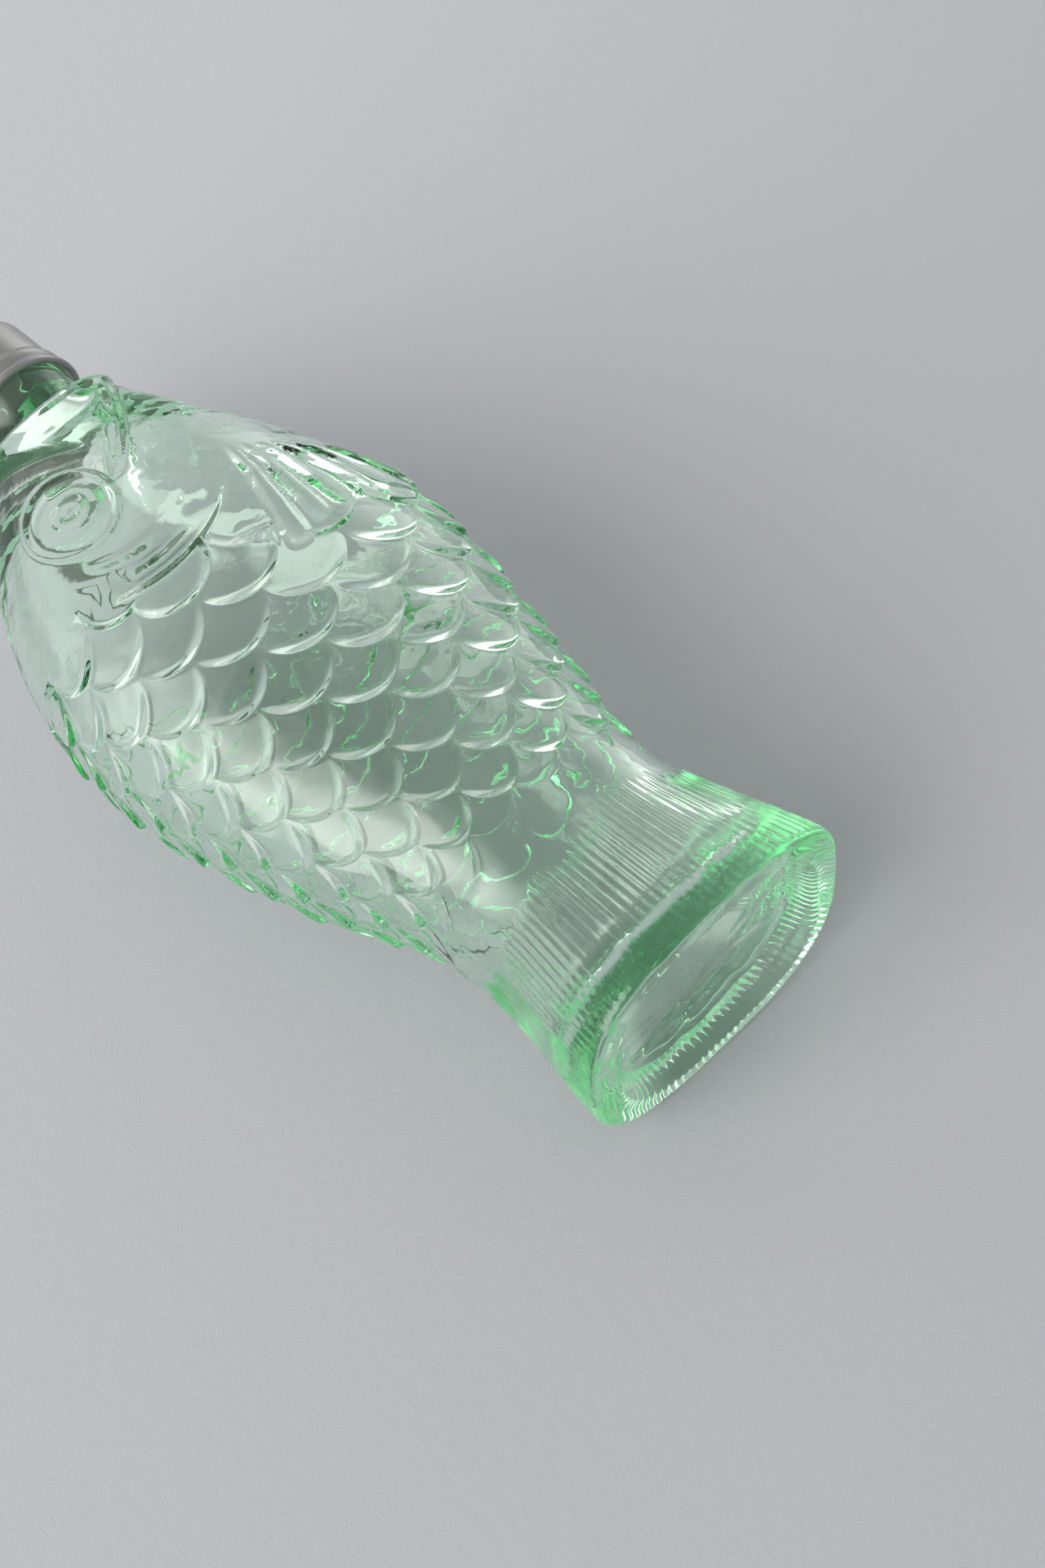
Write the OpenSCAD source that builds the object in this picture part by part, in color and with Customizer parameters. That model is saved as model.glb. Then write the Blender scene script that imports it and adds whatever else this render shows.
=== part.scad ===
// Fish-shaped bottle of moulded green glass with an aluminium screw cap, lying on its flank.
// Each piece is made upright, tail down, belly to +Y, and laid() puts it down. Millimetres.

/* [Body] */
// Height from the tail's foot to the top of the cap
total_h = 272.5; // [230:0.5:320]
// Greatest width, back to belly
belly_w = 109; // [85:0.5:135]
// Greatest thickness, flank to flank
belly_t = 82; // [62:0.5:100]
// Width of the tail's foot
foot_w = 78; // [60:0.5:96]
// Thickness of the tail's foot
foot_t = 66; // [50:0.5:80]
// Width of the waist above the tail
waist_w = 66; // [50:0.5:80]
// Thickness of the waist
waist_t = 59.5; // [46:0.5:72]
// Thickness of the glass
wall = 3.6; // [2.4:0.1:5]

/* [Skin] */
// Scales round the body, an even number
scales_round = 14; // [14:1:14]
// Rise of a scale's free edge over its root
scale_h = 1.7; // [0.8:0.1:2.6]
// Ribs round the tail
tail_ribs = 80; // [40:1:90]
// Depth of a tail rib
rib_d = 0.6; // [0.3:0.1:1.2]
// Ribs of the belly fin on each flank
fin_ribs = 6; // [4:1:7]
// Rise of the gill plates and the eye
carve = 1.0; // [0.5:0.1:1.6]

/* [Neck and cap] */
// Diameter of the neck's bore
bore_d = 19.2; // [14:0.2:21]
// Diameter of the neck under the cap
neck_d = 28.4; // [26:0.2:30]
// Diameter of the cap's skirt
cap_d = 31.8; // [31.2:0.1:33.5]
// Height of the cap
cap_h = 24; // [18:0.5:28]
// Diameter of the rolled bead at the cap's open end
bead_d = 34.4; // [33.6:0.1:36.5]
// Sheet of the cap
sheet = 0.5; // [0.3:0.05:0.6]
// Thickness of the liner
liner_t = 1.5; // [0.8:0.1:2.4]

/* [Pose] */
// Roll towards the back, as the bottle comes to rest
lie_roll = 3.5; // [0:0.5:12]

/* [Hidden] */

cap_z = total_h - cap_h;            // the cap's open end
rim_z = total_h - sheet - liner_t;  // the glass rim, under the liner
body_h = cap_z - 11.5;              // the lips, where the neck comes out
bore_r = bore_d / 2;
neck_r = neck_d / 2;
back = belly_w * 0.568;             // the fish's back bows more than its belly
front = belly_w - back;

// Stations up the body and its half-sizes there: belly side, back side, flank
ST = [0, 0.19, 0.38, 0.58, 0.73, 0.87, 1] * body_h;
FRONT = [foot_w / 2, waist_w * 0.455, front * 0.84, front, front * 0.835, front * 0.552, 15.6];
BACK = [foot_w / 2, waist_w * 0.54, back * 0.84, back, back * 0.93, back * 0.7, 21.4];
FLANK = [foot_t / 2, waist_t / 2, belly_t * 0.44, belly_t / 2, belly_t * 0.47, belly_t * 0.378, 20.2];

function slope(v, i) = i == 0 ? (v[1] - v[0]) / (ST[1] - ST[0]) * 0.9
    : i == len(ST) - 1 ? (v[i] - v[i - 1]) / (ST[i] - ST[i - 1])
    : ((v[i + 1] - v[i]) / (ST[i + 1] - ST[i]) + (v[i] - v[i - 1]) / (ST[i] - ST[i - 1])) / 2;
function span(z, i = 0) = i >= len(ST) - 2 || z <= ST[i + 1] ? i : span(z, i + 1);
function along(v, z) = let (i = span(z), h = ST[i + 1] - ST[i], t = (z - ST[i]) / h)
    (1 + 2 * t) * (1 - t) * (1 - t) * v[i] + t * (1 - t) * (1 - t) * h * slope(v, i)
    + t * t * (3 - 2 * t) * v[i + 1] - t * t * (1 - t) * h * slope(v, i + 1);
function clamp(x, lo = 0, hi = 1) = min(hi, max(lo, x));
function ease(x) = let (t = clamp(x)) t * t * (3 - 2 * t);
function power(z) = 2.15 + 0.75 * (1 - ease(z / 60));

// A point of the body at height z and angle ph, k of the way out and d further along its normal
function skin(z, ph, d = 0, k = 1, inset = 0) = let (
    a = along(FLANK, z) * k - inset, b = along(sin(ph) >= 0 ? FRONT : BACK, z) * k - inset, n = power(z),
    s = pow(pow(abs(cos(ph)), n) + pow(abs(sin(ph)), n), -1 / n),
    m = norm([b * cos(ph), a * sin(ph)]))
    [a * cos(ph) * s + d * b * cos(ph) / m, b * sin(ph) * s + d * a * sin(ph) / m];
// Angle of the scale count u, which crowds the back as the moulded pattern does
function turn(u) = let (w = u - scales_round * floor((u + 4) / scales_round)) w < 0 ? 22.5 * w : w < 6 ? 30 * w : 180 + 22.5 * (w - 6);
// The same angle folded onto the near flank
function fold(ph) = asin(clamp(sin(ph), -1, 1));

// ---- scales: a lattice of cells, each bounded by round arcs, high at its free edge ----
rows = 13;
lat_hi = body_h * 0.776;
lat_lo = body_h * 0.232;
CUT = [0, 0.36, 0.7, 0.92];  // the lattice's points along a cell's side
cuts = len(CUT);
function row_z(r) = let (t = r / rows) lat_hi - (lat_hi - lat_lo) * t * (1.12 - 0.12 * t);
function bow(t) = (sqrt(2 - (2 * t - 1) * (2 * t - 1)) - 1) / 2;
function part(i) = CUT[i - cuts * floor(i / cuts)];
RISE = [0, 0.72, 1, 0.94];
function swell(i) = RISE[i - cuts * floor(i / cuts)];
function lattice(i, j) = let (
    p = part(i), q = part(j), A = floor(i / cuts), B = floor(j / cuts), a = A + p + 0.95 * bow(q), b = B + q + 0.95 * bow(p))
    [(a - b) / 2, row_z(a + b), smooth_head(row_z(A + B + 1), fold(turn((A - B) / 2))) > 0.5 ? -1
        : A + B < rows - 1 ? swell(i) * swell(j) : (1 + flat / scale_h) * min(1, p / 0.36) * min(1, q / 0.36)];

// ---- head: eye, gill plates, jaw and mouth, in height z and offset y on a flank ----
EDGE = [[-90, 0.71], [-60, 0.7], [-48, 0.69], [-35, 0.667], [-22, 0.637], [-8, 0.616], [0, 0.591], [20, 0.565], [40, 0.574], [60, 0.616], [90, 0.633]];
function smooth_head(z, f) = ease((z / body_h - lookup(f, EDGE)) * body_h / 4 + 0.5);
eye = [0.79 * body_h, -0.414 * back];
gill = [0.751 * body_h, -0.3 * back];
corner = [0.85 * body_h, -0.14 * back];
gape = [0.975 * body_h, -0.4 * back];
flat = -0.4;  // the plain skin of the head, under the scales' edges
lip = 1.8;
dip = 10;     // the lips stand lower at the flanks, where the mouth gapes round the neck
function gape_dip(ph) = dip * pow(abs(cos(ph)), 1.5);
function lip_rise(z, ph) = lip * exp(-pow((z + gape_dip(ph) - body_h + 2.5) / 3.4, 2));

function outer(z, ph, cell) = let (rest = ease((row_z(rows) + 2 - z) / 6))
    concat(skin(z, ph, (cell < 0 ? flat : scale_h * (cell - 1) * (1 - rest) + flat * rest) + lip_rise(z, ph)), z);
// The point of the near flank's skin at height z and offset y, d out along the normal
function on(z, y, d) = let (b = along(y >= 0 ? FRONT : BACK, z), n = power(z), v = clamp(abs(y) / b, 0, 0.995))
    concat(skin(z, atan2(y / b, pow(1 - pow(v, n), 1 / n)), d), z);

// ---- rings up the outside, over the rim and down the inside: [points, first one's share of a step] ----
function ring_skin(n, z, k = 1, h = undef, inset = 0) = [[for (i = [0:n - 1]) let (ph = 360 * i / n) concat(skin(z, ph, 0, k, inset), is_undef(h) ? z : h)], 0];
function ring_round(n, z, r, k = 0) = [[for (i = [0:n - 1]) let (ph = 360 * i / n) [r * cos(ph), r * sin(ph), z - k * gape_dip(ph)]], 0];
tail_n = 2 * tail_ribs;
function ring_tail(z, rise, k = 1) = [[for (i = [0:tail_n - 1]) let (ph = 360 * i / tail_n) concat(skin(z, ph, (i % 2 == 0 ? 0 : -rib_d) * rise, k), z)], 0];
function ring_scales(L) = let (o = L % 2) [[for (n = [0:cuts * scales_round - 1]) let (m = 2 * n + o, c = lattice((L + m) / 2, (L - m) / 2)) outer(c[1], turn(c[0]), c[2])], o / 2];
head_n = 3 * scales_round;
function ring_head(z) = [[for (i = [0:head_n - 1]) let (ph = turn(scales_round * i / head_n)) outer(z - gape_dip(ph) * ease((z / body_h - 0.8) / 0.2), ph, -1)], 0];
neck_n = 26;
cav_lo = 10;

RINGS = concat(
    [ring_skin(44, 0, 0.5, 3.4), ring_skin(44, 0, 0.8, 0), ring_skin(44, 0, 0.93, 0), ring_tail(2.6, 1), ring_tail(36, 0.7), ring_skin(56, 46)],
    [for (L = [cuts * rows:-1:2 * cuts]) ring_scales(L)],
    [for (z = [0:8]) ring_head(row_z(1.85) + (body_h - row_z(1.85)) * (z + 0.6) / 8.6)],
    [ring_round(neck_n, body_h + 0.8, neck_r + 1.2, 1), ring_round(neck_n, body_h + 3, neck_r, 1), ring_round(neck_n, cap_z + 1, neck_r), ring_round(neck_n, cap_z + 1.7, neck_r + 0.7),
     ring_round(neck_n, cap_z + 3.6, neck_r + 0.7), ring_round(neck_n, cap_z + 4.3, neck_r), ring_round(neck_n, rim_z - 1.6, neck_r), ring_round(neck_n, rim_z, neck_r - 1.3),
     ring_round(neck_n, rim_z, bore_r + 0.8), ring_round(neck_n, rim_z - 0.8, bore_r), ring_round(neck_n, body_h + 6, bore_r)],
    [for (z = [0.97, 0.92, 0.84, 0.74, 0.64, 0.54, 0.44, 0.34, 0.24, 0.14, 0.075]) ring_skin(neck_n, z * body_h, 1, undef, wall + scale_h * 0.6 + 4.2 * ease((z - 0.82) / 0.16) + 2 * ease((0.2 - z) / 0.13))],
    [ring_skin(neck_n, 0.075 * body_h, 0.7, cav_lo + 2)]);
COUNT = [for (r = RINGS) len(r[0])];
function total(v, n, i = 0, s = 0) = i >= n ? s : total(v, n, i + 1, s + v[i]);
START = [for (i = [0:len(RINGS)]) total(COUNT, i) + 1];
tiny = 0.0007;
// Faces between two rings of any counts, each edge going to the nearest point of the other ring
function band(a, b) = let (n = COUNT[a], m = COUNT[b], fa = RINGS[a][1], fb = RINGS[b][1] + tiny, p = START[a], q = START[b])
    concat([for (i = [0:n - 1]) let (j = ceil((i + 0.5 + fa) / n * m - fb - 0.5)) [p + i, q + (j + 2 * m) % m, p + (i + 1) % n]],
           [for (j = [0:m - 1]) let (i = floor((j + 0.5 + fb) / m * n - fa - 0.5) + 1) [p + (i + 2 * n) % n, q + j, q + (j + 1) % m]]);
last = START[len(RINGS)];
BODY = concat([[0, 0, 4.2]], [for (r = RINGS) for (p = r[0]) p], [[0, 0, cav_lo]]);
FACES = concat([for (i = [0:COUNT[0] - 1]) [0, 1 + i, 1 + (i + 1) % COUNT[0]]],
    [for (k = [0:len(RINGS) - 2]) each band(k, k + 1)],
    [for (i = [0:neck_n - 1]) [last - neck_n + i, last, last - neck_n + (i + 1) % neck_n]]);

// ---- how the bottle lies: on its flank and the edge of its foot ----
lie_tilt = atan((belly_t / 2 - foot_t / 2) / (0.5 * body_h));
function down(p) = let (x = -p[2] * cos(lie_tilt) + p[0] * sin(lie_tilt), z = p[2] * sin(lie_tilt) + p[0] * cos(lie_tilt))
    [x, p[1] * cos(lie_roll) - z * sin(lie_roll), p[1] * sin(lie_roll) + z * cos(lie_roll)];
SHAPE = concat([for (z = [0.01:0.045:0.95]) for (ph = [0:10:350]) down(concat(skin(z * body_h, ph), z * body_h))],
    [for (ph = [0:15:345]) down([cap_d / 2 * cos(ph) * 0.97, cap_d / 2 * sin(ph) * 0.97, total_h])], [for (ph = [0:10:350]) down(concat(skin(0, ph, 0, 0.95), 0))]);
function low(k) = min([for (p = SHAPE) p[k]]);
function high(k) = max([for (p = SHAPE) p[k]]);
module laid() translate([-(low(0) + high(0)) / 2, -(low(1) + high(1)) / 2, -low(2)]) rotate([lie_roll, 0, 0]) rotate([0, lie_tilt, 0]) rotate([0, -90, 0]) children();

// ---- relief laid on both flanks, each a sweep of sections whose foot is in the skin ----
module sweep(S, loop = false) {
    m = len(S[0]);
    n = len(S);
    polyhedron([for (q = S) each q], concat(
        [for (i = [0:n - (loop ? 1 : 2)]) for (j = [0:m - 1]) each let (a = i * m, b = (i + 1) % n * m, k = (j + 1) % m) [[a + j, b + j, a + k], [a + k, b + j, b + k]]],
        loop ? [] : [[for (j = [0:m - 1]) j], [for (j = [m - 1:-1:0]) (n - 1) * m + j]]));
}
function rim(p, d) = on(p[0], p[1], d);
deep = -2.6;          // where a relief's foot is buried, under the scales' roots
buried = flat - 0.25;
// Gill plates: three steps on arcs round one centre, fading out at both ends
module gills() sweep([for (i = [11:-1:0]) let (t = 122 + 128 * i / 11, f = pow(sin(180 * (i + 0.2) / 11.4), 0.5), u = [cos(t), sin(t)],
    P = [[12, 0], [19, 0.6], [19.3, -0.3], [23.2, 0.7], [23.5, -0.3], [27.6, 1]])
    concat([for (k = P) rim(gill + k[0] * u, buried + (k[1] * carve - buried) * (k[0] == 12 ? 0 : f))], [rim(gill + 27.8 * u, deep), rim(gill + 12 * u, deep)])]);
// Eye: pupil, ring and the oval lid round them
module eye_disc() sweep([for (i = [17:-1:0]) let (t = 20 * i, P = [[1.2, 0.5], [3.2, -0.3], [5.2, 0.5], [7, -0.35], [9.2, 0.4], [10.8, buried]])
    concat([for (k = P) let (w = 1 + 0.36 * ease((k[0] - 5) / 4)) rim(eye + k[0] * [w * cos(t), sin(t)], k[1] < flat ? k[1] : k[1] * carve)],
        [rim(eye + 10.8 * [1.36 * cos(t), sin(t)], deep), rim(eye + 1.2 * [cos(t), sin(t)], deep)])], true);
// A fan of n ribs spread from the line a-b at its root to the line c-d at its tips, which bows out to the middle
module fan(a, b, c, d, n, rise, bulge = 12) sweep([for (i = [4:-1:0]) let (t = [0, 0.12, 0.5, 0.9, 1][i], f = [0, 0.7, 1, 1, 0][i])
    concat([for (j = [0:2 * n]) let (v = j / (2 * n), root = a + (b - a) * v, tip = c + (d - c) * v + (j % 2 == 0 ? [bulge / 4, 0] : [0, 0]) + [-bulge * v * (1 - v), 0])
        rim(root + (tip - root) * t, j % 2 == 0 ? buried : buried + (rise - buried) * f)],
        [rim(b + (d - b) * t, deep), rim(a + (c - a) * t, deep)])]);
// The lower jaw's edge, from the chin down to the cheek, steep towards the throat
JAW = [[0.972, 0.36], [0.966, 0.31], [0.945, 0.25], [0.908, 0.17], [0.873, 0.09], [0.835, -0.013], [0.806, -0.115], [0.785, -0.22], [0.774, -0.3]];
module jaw() sweep([for (i = [0:8]) let (p = [JAW[i][0] * body_h, JAW[i][1] * front], k = JAW[min(8, i + 1)] - JAW[max(0, i - 1)], v = [k[0] * body_h, k[1] * front],
    u = [-v[1], v[0]] / norm(v), f = sin(180 * (i + 0.6) / 9.2))
    [rim(p, buried + (carve - buried) * f), rim(p, deep), rim(p - 5 * u, deep), rim(p - 5 * u, buried)]]);
// The corner of the mouth, a wedge cut in from the neck
module mouth() for (i = [0:4]) hull() for (k = [i, i + 1]) let (t = k / 5, p = corner + (gape - corner) * t, w = 0.5 + 2.4 * t)
    translate(rim(p, 0.6)) rotate([0, 0, atan2(p[1], 30)]) scale([0.8 + 0.5 * t, 1, 1]) sphere(r = w, $fn = 8);
module relief() {
    eye_disc();
    gills();
    jaw();
    fan([0.735 * body_h, 0.25 * front], [0.69 * body_h, 0.5 * front], [0.575 * body_h, 0.02 * front], [0.615 * body_h, 0.9 * front], fin_ribs, 0.9 * carve);
    fan([0.635 * body_h, 0.007 * front], [0.622 * body_h, 0.076 * front], [0.611 * body_h, -0.113 * back], [0.59 * body_h, 0.002 * front], 4, 0.35 * carve, 3);
}

module bottle() color([0.72, 0.88, 0.78, 0.4]) laid() {
    difference() {
        union() {
            polyhedron(BODY, FACES);
            for (m = [0, 1]) mirror([m, 0, 0]) relief();
        }
        for (m = [0, 1]) mirror([m, 0, 0]) mouth();
    }
}

module cap() color([0.78, 0.78, 0.79]) laid() {
    r = cap_d / 2;
    translate([0, 0, cap_z]) rotate_extrude($fn = 96)
        polygon([[bead_d / 2 - 2, 0.3], [bead_d / 2 - 1.1, 0], [bead_d / 2 - 0.3, 0.4], [bead_d / 2, 1.3], [bead_d / 2 - 0.3, 2.2], [bead_d / 2 - 1.1, 2.7], [r - 0.2, 3.2],
            [r + 0.5, 4.6], [r + 0.75, 6], [r + 0.5, 7.4], [r - 0.25, 8.6], [r, 9.6], [r, cap_h - 1.6], [r - 0.5, cap_h - 0.5], [r - 1.7, cap_h], [0, cap_h],
            [0, cap_h - sheet], [r - sheet - 0.8, cap_h - sheet], [r - sheet - 0.3, cap_h - sheet - 0.35], [r - sheet, cap_h - 1.6], [r - sheet, 1.2]]);
}

module liner() color([0.93, 0.92, 0.88]) laid() {
    translate([0, 0, rim_z]) cylinder(h = liner_t, r = cap_d / 2 - sheet - 0.9, $fn = 96);
}

bottle();
cap();
liner();
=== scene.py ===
"""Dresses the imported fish-shaped bottle: moulded green glass, an aluminium screw cap and its liner, on pale paper."""
import math

import bmesh
import bpy
import numpy as np
from mathutils import Matrix, Vector


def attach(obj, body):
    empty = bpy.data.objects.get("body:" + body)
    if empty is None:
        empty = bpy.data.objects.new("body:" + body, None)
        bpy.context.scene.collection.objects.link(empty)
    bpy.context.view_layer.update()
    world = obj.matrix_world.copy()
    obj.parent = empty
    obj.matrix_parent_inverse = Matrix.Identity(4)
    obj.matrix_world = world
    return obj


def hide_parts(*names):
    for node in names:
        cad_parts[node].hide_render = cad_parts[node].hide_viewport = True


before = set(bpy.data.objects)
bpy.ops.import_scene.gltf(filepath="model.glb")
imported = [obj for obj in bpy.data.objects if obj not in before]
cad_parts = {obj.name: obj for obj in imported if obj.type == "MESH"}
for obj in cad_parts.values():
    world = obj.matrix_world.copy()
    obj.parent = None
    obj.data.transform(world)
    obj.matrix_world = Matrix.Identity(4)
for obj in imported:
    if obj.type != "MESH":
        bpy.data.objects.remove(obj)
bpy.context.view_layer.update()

bl_info = {
    "name": "Fish-shaped bottle",
    "version": (1, 0, 0),
    "blender": (4, 5, 0),
    "location": "View3D > Sidebar > Fish bottle",
    "description": "Moulded glass fish bottle with a screw cap, lying on its flank",
    "category": "Object",
}

MM = 0.001

# ---- sizes of the part, in millimetres, in the upright frame: tail down, belly to +Y, near flank to +X ----
# W is from back to belly, T from flank to flank, R a radius, Z a height and H a length up the body
TOTAL_H, CAP_H = 272.5, 24.0
BELLY_W, BELLY_T = 109.0, 82.0
FOOT_W, FOOT_T = 78.0, 66.0
WAIST_W, WAIST_T = 66.0, 59.5
WALL = 3.6
SCALES_ROUND, ROWS = 14, 13
NECK_R, BORE_R = 14.2, 9.6
CAP_R, BEAD_R, SHEET = 15.9, 17.2, 0.5
LINER_T, LINER_GAP = 1.5, 0.9
CAP_Z = TOTAL_H - CAP_H
RIM_Z = TOTAL_H - SHEET - LINER_T
BODY_H = CAP_Z - 11.5
BACK_W = BELLY_W * 0.568
FRONT_W = BELLY_W - BACK_W
# Top and bottom of the scales' lattice, the plain skin under the scales' crowns, the lips' flare and dip
LAT_HI, LAT_LO = BODY_H * 0.776, BODY_H * 0.232
FLAT = -0.4
LIP, DIP = 1.8, 10.0
PITCH, THREAD_RISE, THREAD_W = 4.0, 0.85, 1.25

# How the bottle lies: the upright frame turned on to its flank, in metres
LIE_TILT, LIE_ROLL = math.radians(3.86221), math.radians(3.5)
LIE_AT = (135.404, 8.07033, 32.8799)
LAY = (Matrix.Translation([v * MM for v in LIE_AT]) @ Matrix.Rotation(LIE_ROLL, 4, "X")
       @ Matrix.Rotation(LIE_TILT, 4, "Y") @ Matrix.Rotation(math.radians(-90), 4, "Y") @ Matrix.Scale(MM, 4))

# Stations up the body and its half-sizes there
STATIONS = np.array([0, 0.19, 0.38, 0.58, 0.73, 0.87, 1]) * BODY_H
FRONT = [FOOT_W / 2, WAIST_W * 0.455, FRONT_W * 0.84, FRONT_W, FRONT_W * 0.835, FRONT_W * 0.552, 15.6]
BACK = [FOOT_W / 2, WAIST_W * 0.54, BACK_W * 0.84, BACK_W, BACK_W * 0.93, BACK_W * 0.7, 21.4]
FLANK = [FOOT_T / 2, WAIST_T / 2, BELLY_T * 0.44, BELLY_T / 2, BELLY_T * 0.47, BELLY_T * 0.378, 20.2]


# ---- the fish's form ----
def ease(x):
    """Smooth step from 0 to 1."""
    t = np.clip(x, 0, 1)
    return t * t * (3 - 2 * t)


def along(values, z):
    """Smooth curve through the stations' values."""
    v, s = np.array(values, float), STATIONS
    rate = np.diff(v) / np.diff(s)
    slope = np.concatenate([[rate[0] * 0.9], (rate[1:] + rate[:-1]) / 2, [rate[-1]]])
    i = np.clip(np.searchsorted(s, z, side="left") - 1, 0, len(s) - 2)
    h = s[i + 1] - s[i]
    t = (z - s[i]) / h
    return ((1 + 2 * t) * (1 - t) ** 2 * v[i] + t * (1 - t) ** 2 * h * slope[i]
            + t * t * (3 - 2 * t) * v[i + 1] - t * t * (1 - t) * h * slope[i + 1])


def power(z):
    """The section's roundness: squarer at the foot."""
    return 2.15 + 0.75 * (1 - ease(z / 60))


def skin(z, ph, d=0.0, k=1.0, inset=0.0):
    """Points of the body's section at height z and angle ph (radians), pushed d along the normal."""
    z, ph = np.broadcast_arrays(np.asarray(z, float), np.asarray(ph, float))
    c, s = np.cos(ph), np.sin(ph)
    a = along(FLANK, z) * k - inset
    b = np.where(s >= 0, along(FRONT, z), along(BACK, z)) * k - inset
    n = power(z)
    r = (np.abs(c) ** n + np.abs(s) ** n) ** (-1 / n)
    m = np.hypot(b * c, a * s)
    return np.stack([a * c * r + d * b * c / m, b * s * r + d * a * s / m], -1)


def turn(u):
    """Angle (radians) of the scale count u; the pattern crowds towards the back."""
    w = u - SCALES_ROUND * np.floor((u + 4) / SCALES_ROUND)
    return np.radians(np.where(w < 0, 22.5 * w, np.where(w < 6, 30 * w, 180 + 22.5 * (w - 6))))


def around(n):
    """Angles of n points round a ring."""
    return 2 * np.pi * np.arange(n) / n


def fold(ph):
    """Angle in degrees from -90 at the back to 90 at the belly, on either flank."""
    return np.degrees(np.arcsin(np.clip(np.sin(ph), -1, 1)))


# ---- the scales' lattice ----
# The head's smooth part begins at this share of the body's height, from the back (-90 degrees) to the belly (90)
EDGE_AT = [-90, -60, -48, -35, -22, -8, 0, 20, 40, 60, 90]
EDGE_LEVEL = [0.71, 0.7, 0.69, 0.667, 0.637, 0.616, 0.591, 0.565, 0.574, 0.616, 0.633]
# Where the lattice's points stand along a scale's side, crowded at its free edge
CUT = np.array([0, 0.02, 0.06, 0.12, 0.2, 0.3, 0.4, 0.5, 0.6, 0.7, 0.79, 0.86, 0.9, 0.93, 0.957, 0.98])
CUTS = len(CUT)
LAST_ROW = 12


def row_z(r):
    """Height of the lattice's row r; the rows close up towards the tail."""
    t = r / ROWS
    return LAT_HI - (LAT_HI - LAT_LO) * t * (1.12 - 0.12 * t)


def bow(t):
    """How far the lattice's lines bow out into round arcs."""
    return (np.sqrt(2 - (2 * t - 1) ** 2) - 1) / 2


def is_plain(a, b):
    """Cells of the lattice that belong to the smooth head."""
    z, f = row_z(a + b + 1), fold(turn((a - b) / 2))
    level = np.interp(f, EDGE_AT, EDGE_LEVEL)
    return ease((z / BODY_H - level) * BODY_H / 4 + 0.5) > 0.5


def free_edge(p):
    """The bevel at a scale's free edge, with a round shoulder."""
    return 1 - np.clip((p - 0.87) / 0.13, 0, 1) ** 1.8


def root(p):
    """A scale's rise from under its neighbour."""
    return 1 - (1 - np.clip(p / 0.85, 0, 1)) ** 1.7


def scale_relief(A, B, p, q, scale_h):
    """Depth under the skin at the place (p, q) of the lattice's cell (A, B)."""
    plain = is_plain(A, B)
    waist = (A + B) >= LAST_ROW
    edge_a = np.where(plain & is_plain(A + 1, B), 1, free_edge(p))
    edge_b = np.where(plain & is_plain(A, B + 1), 1, free_edge(q))
    scale = root(p) * root(q) * free_edge(p) * free_edge(q)
    # the plain skin stands at FLAT, a scale's crown at 0
    head_d = -scale_h + (scale_h + FLAT) * (edge_a * edge_b)
    waist_d = -scale_h + (scale_h + FLAT) * (root(p) * root(q))
    return np.where(plain, head_d, np.where(waist, waist_d, scale_h * (scale - 1)))


# ---- the head's relief and the fins, as heights over the skin at height z and offset y on a flank ----
EYE = np.array([0.79 * BODY_H, -0.414 * BACK_W])
GILL = np.array([0.751 * BODY_H, -0.3 * BACK_W])
CORNER = np.array([0.85 * BODY_H, -0.14 * BACK_W])
GAPE = np.array([0.972 * BODY_H, -0.475 * BACK_W])
JAW = np.array([(0.972, 0.36), (0.966, 0.31), (0.945, 0.25), (0.908, 0.17), (0.873, 0.09), (0.835, -0.013),
                (0.806, -0.115), (0.785, -0.22), (0.774, -0.3)]) * [BODY_H, FRONT_W]
# Inner edge, crest and outer edge of each gill plate, in millimetres from GILL, and its rise
GILL_PLATES = ((12.5, 16.8, 19.0, 1.1), (18.8, 21.9, 24.0, 1.25), (23.8, 26.8, 29.0, 1.4))
# Each fan: the root's two ends, the tips' two ends, how many ribs and how high
BELLY_FIN = ((0.745 * BODY_H, 0.25 * FRONT_W), (0.695 * BODY_H, 0.55 * FRONT_W),
             (0.57 * BODY_H, 0.02 * FRONT_W), (0.60 * BODY_H, 0.93 * FRONT_W), 6, 1.0)
CHEEK_FAN = ((150.6, 0.3), (147.3, 3.6), (144.8, -7.0), (138.4, 0.1), 4.5, 0.35)


def soft_max(a, b, k):
    """The higher of two reliefs, with a rounded join."""
    h = np.clip(0.5 + 0.5 * (a - b) / k, 0, 1)
    return b * (1 - h) + a * h + k * h * (1 - h)


def gape_dip(ph):
    """How far the lips draw back at the mouth's corners."""
    return DIP * np.abs(np.cos(ph)) ** 1.5


def gill_relief(z, y, base):
    """Curved plates behind the eye."""
    r = np.hypot(z - GILL[0], y - GILL[1])
    t = np.degrees(np.arctan2(y - GILL[1], z - GILL[0])) % 360
    fade = np.clip(np.sin(np.pi * np.clip((t - 122 + 2.3) / 132.6, 0, 1)), 0, 1) ** 0.35
    height = np.full(z.shape, -1.7)
    for inner, crest, outer, rise in GILL_PLATES:
        plate = np.where(r < crest, ease((r - inner) / (crest - inner)), ease((outer - r) / (outer - crest)))
        height = np.maximum(height, FLAT - 0.25 + rise * plate)
    height = -1.7 + (height + 1.7) * fade
    return np.where((fade > 0) & (r > 13) & (r < 28.9), soft_max(base, height, 0.35), base)


def hump(r, at, width):
    """A round bead at the radius given, or a dome at 0."""
    return np.exp(-((r - at) / width) ** 2)


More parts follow.
